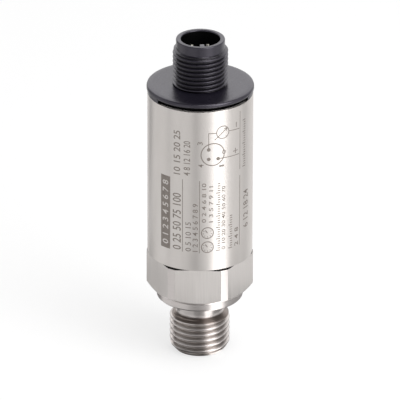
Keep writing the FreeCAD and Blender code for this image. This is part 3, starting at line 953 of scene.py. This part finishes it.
def dark_card(name, azimuth, elevation, distance, width, height, tone, aim):
    """Card that only reflections see, glowing at a low tone."""
    mesh = bpy.data.meshes.new(name)
    corners = [(x * width / 2, y * height / 2, 0) for x, y in ((-1, -1), (1, -1), (1, 1), (-1, 1))]
    mesh.from_pydata(corners, [], [(0, 1, 2, 3)])
    card = bpy.data.objects.new(name, mesh)
    facing(card, azimuth, elevation, distance, aim)
    reflections_only(card)
    material = bpy.data.materials.new(name)
    material.use_nodes = True
    shader = material.node_tree.nodes["Principled BSDF"]
    shader.inputs["Base Color"].default_value = (0, 0, 0, 1)
    shader.inputs["Specular IOR Level"].default_value = 0
    shader.inputs["Emission Color"].default_value = (1, 1, 1, 1)
    shader.inputs["Emission Strength"].default_value = tone
    mesh.materials.append(material)


def flag(name, azimuth, distance, width, height, tone):
    """Upright dark card that stands on the floor."""
    middle = Vector((0, 0, STUB_BOTTOM * MM + height / 2))
    dark_card(name, azimuth, 0, distance, width, height, tone, middle)


def floor_card(*sectors):
    """Card on the floor round the foot, seen by reflections alone: a painted reflection, dark where it
    stands in for the floor's shade near the foot, and glowing brightly, more so near the foot, in the
    sector where it stands in for a lamp.

    Each sector is (azimuth, reach in metres, tone). Between two sectors both values run evenly.
    """
    bm = bmesh.new()
    bmesh.ops.create_circle(bm, cap_ends=True, segments=96, radius=FLOOR_CARD_R)
    bmesh.ops.translate(bm, verts=bm.verts, vec=(0, 0, (STUB_BOTTOM + FLOOR_CARD_LIFT) * MM))
    mesh = bpy.data.meshes.new("floor_card")
    bm.to_mesh(mesh)
    bm.free()
    card = bpy.data.objects.new("floor_card", mesh)
    bpy.context.scene.collection.objects.link(card)
    reflections_only(card)
    finish = Finish("floor_card", 0.0, 1.0)
    finish.shader.inputs["Base Color"].default_value = (0, 0, 0, 1)
    finish.shader.inputs["Specular IOR Level"].default_value = 0
    around = finish.node("ShaderNodeTexGradient", gradient_type="RADIAL")
    finish.link(finish.place, around.inputs[0])
    turns = sorted((((azimuth / 360 + 0.25) % 1, reach, tone) for azimuth, reach, tone in sectors))
    reach = finish.ramp(around.outputs[0], *((turn, reach / FLOOR_CARD_R) for turn, reach, tone in turns))
    tone = finish.ramp(around.outputs[0], *((turn, tone / 3) for turn, reach, tone in turns))
    beyond = finish.math("SUBTRACT", finish.radius(), finish.math("MULTIPLY", reach, FLOOR_CARD_R))
    finish.link(finish.fade(beyond, 5, -5), finish.shader.inputs["Alpha"])
    finish.shader.inputs["Emission Color"].default_value = (1, 1, 1, 1)
    near = finish.math("ADD", 1, finish.math("MULTIPLY", 0.5, finish.fade(finish.radius(), 60, 20)))
    glow = finish.math("MULTIPLY", finish.math("MULTIPLY", tone, 3), near)
    finish.link(glow, finish.shader.inputs["Emission Strength"])
    mesh.materials.append(finish.material)


def seen_by_camera_or_gloss(tree):
    """1 for rays that see the background: from the camera, from gloss and through glass."""
    path = tree.nodes.new("ShaderNodeLightPath")
    total = path.outputs["Is Camera Ray"]
    for output in ("Is Glossy Ray", "Is Transmission Ray"):
        add = tree.nodes.new("ShaderNodeMath")
        add.operation = "ADD"
        add.use_clamp = True
        tree.links.new(total, add.inputs[0])
        tree.links.new(path.outputs[output], add.inputs[1])
        total = add.outputs[0]
    return total


def world(ambient):
    """White where the background is seen, and an even light of the given strength on the object."""
    scene_world = bpy.data.worlds.new("studio")
    bpy.context.scene.world = scene_world
    scene_world.use_nodes = True
    tree = scene_world.node_tree
    background = tree.nodes["Background"]
    background.inputs["Color"].default_value = (1, 1, 1, 1)
    strength = tree.nodes.new("ShaderNodeMapRange")
    strength.inputs["To Min"].default_value = ambient
    strength.inputs["To Max"].default_value = 1.0
    tree.links.new(seen_by_camera_or_gloss(tree), strength.inputs["Value"])
    tree.links.new(strength.outputs[0], background.inputs["Strength"])


def floor(lift):
    """Pale floor that takes the object's shadow, lifted to white where the background is seen."""
    bm = bmesh.new()
    bmesh.ops.create_grid(bm, x_segments=8, y_segments=8, size=FLOOR_SIZE)
    bmesh.ops.translate(bm, verts=bm.verts, vec=(0, 0, (STUB_BOTTOM - FLOOR_DROP) * MM))
    mesh = bpy.data.meshes.new("floor")
    bm.to_mesh(mesh)
    bm.free()
    obj = bpy.data.objects.new("floor", mesh)
    bpy.context.scene.collection.objects.link(obj)
    material = bpy.data.materials.new("floor")
    material.use_nodes = True
    tree = material.node_tree
    shader = tree.nodes["Principled BSDF"]
    shader.inputs["Base Color"].default_value = (FLOOR_TONE, FLOOR_TONE, FLOOR_TONE, 1)
    shader.inputs["Roughness"].default_value = 0.9
    shader.inputs["Specular IOR Level"].default_value = 0.0
    shader.inputs["Emission Color"].default_value = (1, 1, 1, 1)
    emission = tree.nodes.new("ShaderNodeMath")
    emission.operation = "MULTIPLY"
    emission.inputs[1].default_value = lift
    tree.links.new(seen_by_camera_or_gloss(tree), emission.inputs[0])
    tree.links.new(emission.outputs[0], shader.inputs["Emission Strength"])
    mesh.materials.append(material)


def camera():
    """Long lens, 25 degrees above the horizon, on the marked side."""
    data = bpy.data.cameras.new("camera")
    data.lens = CAMERA_LENS
    data.sensor_width = 36
    data.clip_end = 20
    obj = bpy.data.objects.new("camera", data)
    away = Vector((0, -math.cos(CAMERA_ELEVATION), math.sin(CAMERA_ELEVATION)))
    obj.location = CAMERA_AIM + away * CAMERA_DISTANCE
    roll = Matrix.Rotation(CAMERA_ROLL, 3, "Z")
    obj.rotation_euler = (away.to_track_quat("Z", "Y").to_matrix() @ roll).to_euler()
    bpy.context.scene.collection.objects.link(obj)
    bpy.context.scene.camera = obj


# ---------------------------------------------------------------- build
camera()
world(0.55)
floor(0.68)
floor_card(
    (-100, 0.014, 0.05), (-64, 0.018, 0.03), (-30, 0.022, 0.03), (-20, 0.038, 0.08), (8, 0.038, 0.08),
    (21, 0.034, 0.4), (27, 0.4, 1.85), (57, 0.4, 1.85), (65, 0.036, 0.3), (75, 0.040, 0.1),
    (160, 0.040, 0.1), (195, 0.030, 0.1), (210, 0.055, 0.1), (244, 0.055, 0.1), (256, 0.014, 0.1))
softbox("key", 41, 28, 0.5, 0.26, 0.34, 2.2)
softbox("high", 57, 62, 0.42, 0.18, 0.40, 3.6)
softbox("back", 180, 35, 0.8, 1.2, 0.7, 0.6)
dark_card("ceiling", 0, 90, 0.5, 0.7, 0.7, 0.02, Vector((0, 0, 0)))
flag("front_flag", -8, 0.11, 0.026, 0.4, 0.55)
flag("left_flag", -66, 0.11, 0.022, 0.4, 0.7)
flag("right_flag", 106, 0.11, 0.040, 0.4, 0.7)
flag("rear_left_flag", -127, 0.11, 0.037, 0.4, 0.4)

finish_fitting(process_fitting())
tube = housing_tube()
tube.data.materials.append(tube_steel())
marks = bent_marks("tube_marks", tube_marks, "tube_steel")
marks.data.materials.append(marked_steel())
numbers = bent_marks("tube_bar_numbers", bar_numbers, "tube_steel", 0.004)
numbers.data.materials.append(tube.data.materials[0])
finish_cap(connector_cap())
# The pins' metal is kept darker than plating: partly painted shade of the socket they sit in.
pin_metal = plain_metal("contact_metal", (0.36, 0.345, 0.31), 0.3)
for node in ("contact_pin_1", "contact_pin_3", "contact_pin_4"):
    contact_pin(node).data.materials.append(pin_metal)

slot_materials = {
    "carrier_plastic": plain_plastic("carrier_plastic", (0.004, 0.004, 0.005)),
    "lead_metal": plain_metal("lead_metal", (0.72, 0.72, 0.70), 0.3),
    "seal_rubber": plain_plastic("seal_rubber", (0.02, 0.02, 0.02), 0.6),
    "cell_ceramic": plain_plastic("cell_ceramic", (0.85, 0.83, 0.78), 0.5),
    "clamp_steel": plain_metal("clamp_steel", (0.6, 0.6, 0.6), 0.3),
    "board_laminate": plain_plastic("board_laminate", (0.03, 0.19, 0.08), 0.35),
    "holder_plastic": plain_plastic("holder_plastic", (0.75, 0.74, 0.70), 0.5),
    "chip_plastic": plain_plastic("chip_plastic", (0.025, 0.025, 0.028), 0.5),
    "capacitor_body": plain_plastic("capacitor_body", (0.72, 0.42, 0.06), 0.4),
    "sleeve_film": plain_plastic("sleeve_film", (0.80, 0.76, 0.60), 0.25),
    "membrane_film": plain_plastic("membrane_film", (0.88, 0.88, 0.86), 0.7),
}
for subpart in frame["record"]["subparts"]:
    node = frame["nodes"][subpart["node"]]
    if subpart["material_slot"] in slot_materials:
        node.data.materials.clear()
        node.data.materials.append(slot_materials[subpart["material_slot"]])

bpy.context.scene.view_settings.view_transform = "Standard"
